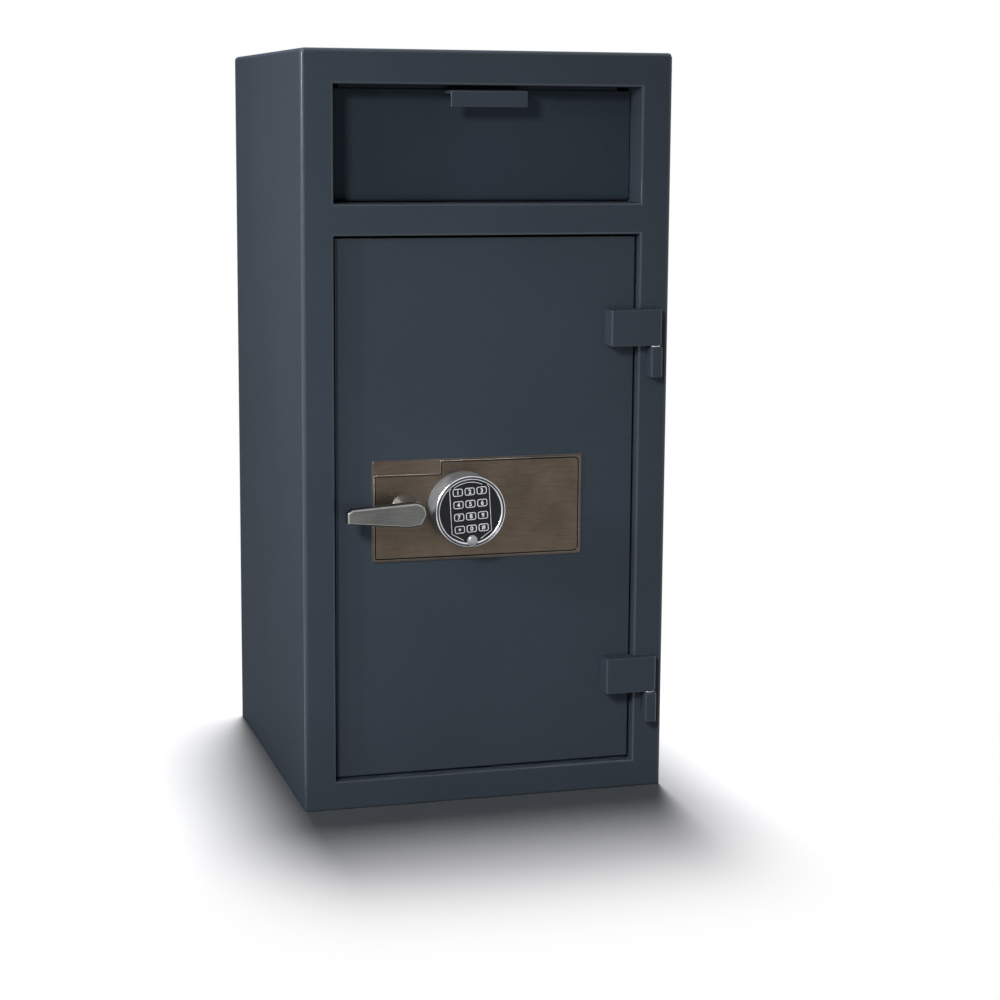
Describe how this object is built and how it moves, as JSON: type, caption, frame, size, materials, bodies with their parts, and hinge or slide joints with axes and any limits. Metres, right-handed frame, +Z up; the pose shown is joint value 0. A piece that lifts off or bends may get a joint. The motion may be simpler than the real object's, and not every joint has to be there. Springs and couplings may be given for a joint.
{
  "type": "depository safe",
  "caption": "Steel drop safe with a tilt-out deposit hopper above a hinged door that has a keypad lock, a lever handle and sliding locking bolts.",
  "frame": {"origin": "centre of the body's footprint, on the floor it stands on", "axes": "+X to the right seen from the front, +Y towards the back, +Z up; the door and the hopper face -Y"},
  "size_m": [0.508, 0.552, 1.016],
  "materials": {
    "slate_paint": "fine-textured slate blue powder coat",
    "inner_paint": "matt slate grey primer coat",
    "bronze_plate": "horizontally brushed bronze tone",
    "bright_chrome": "polished chrome",
    "satin_steel": "satin, brushed lengthwise",
    "zinc_steel": "zinc-plated steel",
    "black_face": "semi-gloss black moulding",
    "key_rubber": "matt black rubber with light printing",
    "brass_bearing": "plain brass",
    "lead_sheath": "smooth black cable sheath"
  },
  "bodies": {
    "safe_body": {"body_wrapper": "slate_paint", "front_frame": "slate_paint", "back_panel": "slate_paint", "floor_plate": "inner_paint", "hopper_bracket_left": "inner_paint", "hopper_bracket_right": "inner_paint", "anti_fish_baffle": "inner_paint", "deposit_chute": "inner_paint", "hopper_stop_strip": "inner_paint", "hopper_rod": "zinc_steel", "hinge_knuckle_upper": "slate_paint", "hinge_knuckle_lower": "slate_paint", "hinge_washer_upper": "zinc_steel", "hinge_washer_lower": "zinc_steel", "hinge_pin_upper": "zinc_steel", "hinge_pin_lower": "zinc_steel"},
    "hopper": {"hopper_panel": "slate_paint", "hopper_pull": "slate_paint", "hopper_tray": "inner_paint", "hopper_cheek_left": "inner_paint", "hopper_cheek_right": "inner_paint"},
    "door": {"door_slab": "slate_paint", "hinge_block_upper": "slate_paint", "hinge_block_lower": "slate_paint", "lock_plate": "bronze_plate", "handle_rose": "bright_chrome", "door_pan": "inner_paint", "door_pan_cover": "inner_paint", "dead_bar": "zinc_steel", "lock_case": "zinc_steel", "keypad_lead": "lead_sheath", "bolt_guide_upper": "zinc_steel", "bolt_guide_lower": "zinc_steel", "keypad_housing": "bright_chrome", "keypad_face": "black_face", "keypad_boss": "satin_steel"},
    "handle": {"lever_handle": "satin_steel", "handle_spindle": "zinc_steel", "bolt_cam": "zinc_steel"},
    "boltwork": {"bolt_bar": "zinc_steel", "follower_pin": "zinc_steel", "locking_bolt_top": "bright_chrome", "locking_bolt_middle": "bright_chrome", "locking_bolt_bottom": "bright_chrome"},
    "lock_bolt": {"lock_bolt": "brass_bearing"},
    "key_1": {"key_1": "key_rubber"},
    "key_2": {"key_2": "key_rubber"},
    "key_3": {"key_3": "key_rubber"},
    "key_4": {"key_4": "key_rubber"},
    "key_5": {"key_5": "key_rubber"},
    "key_6": {"key_6": "key_rubber"},
    "key_7": {"key_7": "key_rubber"},
    "key_8": {"key_8": "key_rubber"},
    "key_9": {"key_9": "key_rubber"},
    "key_star": {"key_star": "key_rubber"},
    "key_0": {"key_0": "key_rubber"},
    "key_hash": {"key_hash": "key_rubber"}
  },
  "joints": [
    {"name": "door_swing", "type": "hinge", "parent": "safe_body", "child": "door", "pos_m": [0.231, -0.2645, 0.4065], "axis": [0, 0, 1], "range_deg": [0, 180]},
    {"name": "hopper_tilt", "type": "hinge", "parent": "safe_body", "child": "hopper", "pos_m": [0, -0.2005, 0.8243], "axis": [1, 0, 0], "range_deg": [0, 50]},
    {"name": "handle_turn", "type": "hinge", "parent": "door", "child": "handle", "pos_m": [-0.113, -0.298, 0.409], "axis": [0, -1, 0], "range_deg": [0, 80]},
    {"name": "boltwork_slide", "type": "slide", "parent": "door", "child": "boltwork", "axis": [-1, 0, 0], "range_m": [0, 0.024]},
    {"name": "lock_bolt_slide", "type": "slide", "parent": "door", "child": "lock_bolt", "axis": [-1, 0, 0], "range_m": [0, 0.009]},
    {"name": "press_1", "type": "slide", "parent": "door", "child": "key_1", "axis": [0, 1, 0], "range_m": [0, 0.0012], "stiffness_N_per_m": 800},
    {"name": "press_2", "type": "slide", "parent": "door", "child": "key_2", "axis": [0, 1, 0], "range_m": [0, 0.0012], "stiffness_N_per_m": 800},
    {"name": "press_3", "type": "slide", "parent": "door", "child": "key_3", "axis": [0, 1, 0], "range_m": [0, 0.0012], "stiffness_N_per_m": 800},
    {"name": "press_4", "type": "slide", "parent": "door", "child": "key_4", "axis": [0, 1, 0], "range_m": [0, 0.0012], "stiffness_N_per_m": 800},
    {"name": "press_5", "type": "slide", "parent": "door", "child": "key_5", "axis": [0, 1, 0], "range_m": [0, 0.0012], "stiffness_N_per_m": 800},
    {"name": "press_6", "type": "slide", "parent": "door", "child": "key_6", "axis": [0, 1, 0], "range_m": [0, 0.0012], "stiffness_N_per_m": 800},
    {"name": "press_7", "type": "slide", "parent": "door", "child": "key_7", "axis": [0, 1, 0], "range_m": [0, 0.0012], "stiffness_N_per_m": 800},
    {"name": "press_8", "type": "slide", "parent": "door", "child": "key_8", "axis": [0, 1, 0], "range_m": [0, 0.0012], "stiffness_N_per_m": 800},
    {"name": "press_9", "type": "slide", "parent": "door", "child": "key_9", "axis": [0, 1, 0], "range_m": [0, 0.0012], "stiffness_N_per_m": 800},
    {"name": "press_star", "type": "slide", "parent": "door", "child": "key_star", "axis": [0, 1, 0], "range_m": [0, 0.0012], "stiffness_N_per_m": 800},
    {"name": "press_0", "type": "slide", "parent": "door", "child": "key_0", "axis": [0, 1, 0], "range_m": [0, 0.0012], "stiffness_N_per_m": 800},
    {"name": "press_hash", "type": "slide", "parent": "door", "child": "key_hash", "axis": [0, 1, 0], "range_m": [0, 0.0012], "stiffness_N_per_m": 800}
  ],
  "couplings": [
    {"joint": "boltwork_slide", "follows": "handle_turn", "m_per_rad": 0.017188},
    {"joint": "lock_bolt_slide", "follows": "handle_turn", "m_per_rad": 0.006445}
  ]
}
